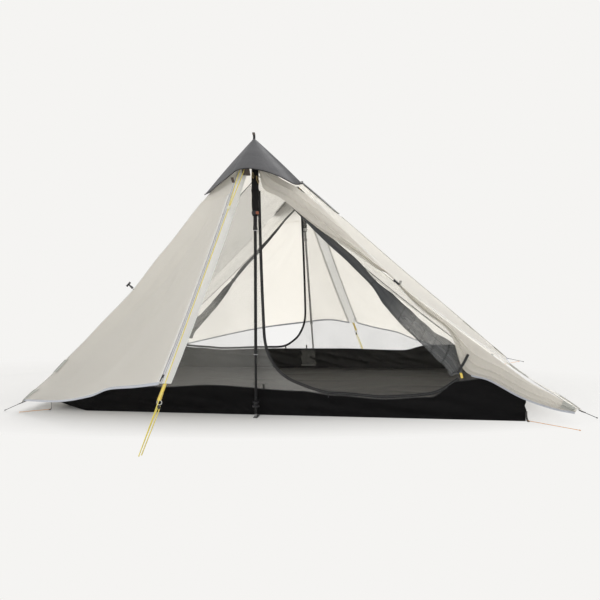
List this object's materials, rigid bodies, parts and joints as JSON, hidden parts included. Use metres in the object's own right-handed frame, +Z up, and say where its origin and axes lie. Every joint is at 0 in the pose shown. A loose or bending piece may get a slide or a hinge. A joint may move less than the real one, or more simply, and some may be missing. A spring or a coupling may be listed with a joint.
{
  "type": "ultralight tent",
  "caption": "Pitched two-peak hiking tent: a pale outer shell with zipped doors over a mesh sleeping tent, held up by telescoping walking poles and guy lines.",
  "frame": {"origin": "on the ground, at the middle of the tub floor, which is also the middle of the pitched outer shell", "axes": "+X runs along the tent to its right end as seen from the front door side, +Y from the front to the back, +Z up"},
  "size_m": [2.8687, 2.2342, 1.3185],
  "materials": {
    "fly_cloth": "thin translucent off-white tent cloth, matt",
    "cap_cloth": "dark grey coated tent cloth, soft sheen",
    "strip_cloth": "bright white zip flap, matt",
    "mesh": "fine dark insect mesh",
    "tub_cloth": "black waterproof coated cloth",
    "webbing_black": "black woven webbing",
    "webbing_yellow": "yellow woven webbing",
    "webbing_tan": "tan cord and tape",
    "mesh_light": "light grey pocket mesh",
    "zip": "black zip tape with a coil",
    "cord_yellow": "yellow braided cord",
    "cord_orange": "orange braided cord",
    "cord_black": "black braided cord",
    "knot_white": "bright pale cord knot",
    "pole_tube": "black tube, satin",
    "grip_foam": "black foam, matt",
    "hardware_black": "black moulded plastic"
  },
  "bodies": {
    "tent": {"fly_panel_left": "fly_cloth", "fly_panel_right": "fly_cloth", "fly_door_front_right": "fly_cloth", "fly_strip_front": "strip_cloth", "fly_strip_back": "strip_cloth", "fly_cap_front": "cap_cloth", "fly_cap_back": "cap_cloth", "strip_foot_front": "webbing_yellow", "strip_foot_back": "webbing_yellow", "inner_tub": "tub_cloth", "tub_pocket": "mesh_light", "inner_panel_left": "mesh", "inner_panel_right": "mesh", "inner_wall_front": "mesh", "inner_wall_back": "mesh", "inner_zip_front": "zip", "inner_zip_back": "zip", "inner_door_front": "mesh", "inner_door_back": "mesh", "inner_strap_front": "webbing_tan", "inner_strap_back": "webbing_tan", "pole_foot_front": "webbing_black", "pole_foot_back": "webbing_black", "pole_front_lower": "pole_tube", "pole_back_lower": "pole_tube", "pole_front_basket": "hardware_black", "pole_back_basket": "hardware_black", "door_toggle_front_left": "hardware_black", "door_toggle_front_right": "hardware_black", "fly_cord_back_right": "cord_black", "fly_cord_front_left": "cord_black", "fly_cord_front_right": "cord_black", "foot_guy_back": "cord_yellow", "foot_guy_front": "cord_yellow", "guy_line_back": "cord_yellow", "guy_line_front": "cord_yellow", "guy_loop_back": "cord_yellow", "guy_loop_front": "cord_yellow", "inner_cord_back_right": "cord_orange", "inner_cord_front_left": "cord_orange", "inner_cord_front_right": "cord_orange"},
    "door_front_left": {"fly_door_front_left": "fly_cloth"},
    "door_back_right": {"fly_door_back_right": "fly_cloth"},
    "door_back_left": {"fly_door_back_left": "fly_cloth"},
    "pole_front_middle": {"pole_front_middle": "pole_tube"},
    "pole_front_upper": {"pole_front_upper": "pole_tube"},
    "pole_front_grip": {"pole_front_grip": "grip_foam"},
    "pole_front_lever": {"pole_front_lever": "hardware_black"},
    "guy_knot_front": {"guy_knot_front": "knot_white"},
    "vent_prop_front": {"vent_prop_front": "webbing_black"},
    "fly_slider_front": {"fly_slider_front": "hardware_black"},
    "inner_slider_front": {"inner_slider_front": "hardware_black"},
    "pole_back_middle": {"pole_back_middle": "pole_tube"},
    "pole_back_upper": {"pole_back_upper": "pole_tube"},
    "pole_back_grip": {"pole_back_grip": "grip_foam"},
    "pole_back_lever": {"pole_back_lever": "hardware_black"},
    "guy_knot_back": {"guy_knot_back": "knot_white"},
    "vent_prop_back": {"vent_prop_back": "webbing_black"},
    "fly_slider_back": {"fly_slider_back": "hardware_black"},
    "inner_slider_back": {"inner_slider_back": "hardware_black"}
  },
  "joints": [
    {"name": "door_front_left_swing", "type": "hinge", "parent": "tent", "child": "door_front_left", "pos_m": [-0.262, -0.589, 1.02244], "axis": [-0.7318, 0, -0.6815], "range_deg": [0, 110]},
    {"name": "door_back_right_swing", "type": "hinge", "parent": "tent", "child": "door_back_right", "pos_m": [0.262, 0.589, 1.0294], "axis": [0.7365, 0, -0.6764], "range_deg": [0, 110]},
    {"name": "door_back_left_swing", "type": "hinge", "parent": "tent", "child": "door_back_left", "pos_m": [-0.275, 0.5874, 1.00413], "axis": [0.7586, 0.0044, 0.6516], "range_deg": [0, 110]},
    {"name": "pole_front_middle_slide", "type": "slide", "parent": "tent", "child": "pole_front_middle", "axis": [0.0376, 0, 0.9993], "range_m": [-0.22, 0]},
    {"name": "pole_front_upper_slide", "type": "slide", "parent": "pole_front_middle", "child": "pole_front_upper", "axis": [0.0376, 0, 0.9993], "range_m": [-0.2, 0]},
    {"name": "pole_front_grip_slide", "type": "slide", "parent": "pole_front_upper", "child": "pole_front_grip", "axis": [0.0376, 0, 0.9993], "range_m": [-0.045, 0]},
    {"name": "pole_front_lever_swing", "type": "hinge", "parent": "pole_front_grip", "child": "pole_front_lever", "pos_m": [0.00855, -0.59571, 0.95424], "axis": [0.0376, 0, 0.9993], "range_deg": [0, 100]},
    {"name": "guy_knot_front_slide", "type": "slide", "parent": "tent", "child": "guy_knot_front", "axis": [-0.2566, -0.3503, -0.9008], "range_m": [0, 0.3]},
    {"name": "vent_prop_front_fold", "type": "hinge", "parent": "tent", "child": "vent_prop_front", "pos_m": [-0.078, -0.673, 1.083], "axis": [1, 0, 0], "range_deg": [0, 100]},
    {"name": "fly_slider_front_slide", "type": "slide", "parent": "tent", "child": "fly_slider_front", "axis": [0.2533, 0.3714, 0.8932], "range_m": [0, 0.7]},
    {"name": "inner_slider_front_slide", "type": "slide", "parent": "tent", "child": "inner_slider_front", "axis": [0.9981, 0, -0.0615], "range_m": [0, 0.25]},
    {"name": "pole_back_middle_slide", "type": "slide", "parent": "tent", "child": "pole_back_middle", "axis": [-0.0376, 0, 0.9993], "range_m": [-0.22, 0]},
    {"name": "pole_back_upper_slide", "type": "slide", "parent": "pole_back_middle", "child": "pole_back_upper", "axis": [-0.0376, 0, 0.9993], "range_m": [-0.2, 0]},
    {"name": "pole_back_grip_slide", "type": "slide", "parent": "pole_back_upper", "child": "pole_back_grip", "axis": [-0.0376, 0, 0.9993], "range_m": [-0.045, 0]},
    {"name": "pole_back_lever_swing", "type": "hinge", "parent": "pole_back_grip", "child": "pole_back_lever", "pos_m": [-0.00855, 0.59571, 0.95424], "axis": [-0.0376, 0, 0.9993], "range_deg": [0, 100]},
    {"name": "guy_knot_back_slide", "type": "slide", "parent": "tent", "child": "guy_knot_back", "axis": [0.2566, 0.3503, -0.9008], "range_m": [0, 0.3]},
    {"name": "vent_prop_back_fold", "type": "hinge", "parent": "tent", "child": "vent_prop_back", "pos_m": [0.078, 0.673, 1.083], "axis": [-1, 0, 0], "range_deg": [0, 100]},
    {"name": "fly_slider_back_slide", "type": "slide", "parent": "tent", "child": "fly_slider_back", "axis": [-0.2533, -0.3714, 0.8932], "range_m": [0, 0.7]},
    {"name": "inner_slider_back_slide", "type": "slide", "parent": "tent", "child": "inner_slider_back", "axis": [-0.9997, 0, -0.0259], "range_m": [0, 0.25]}
  ]
}
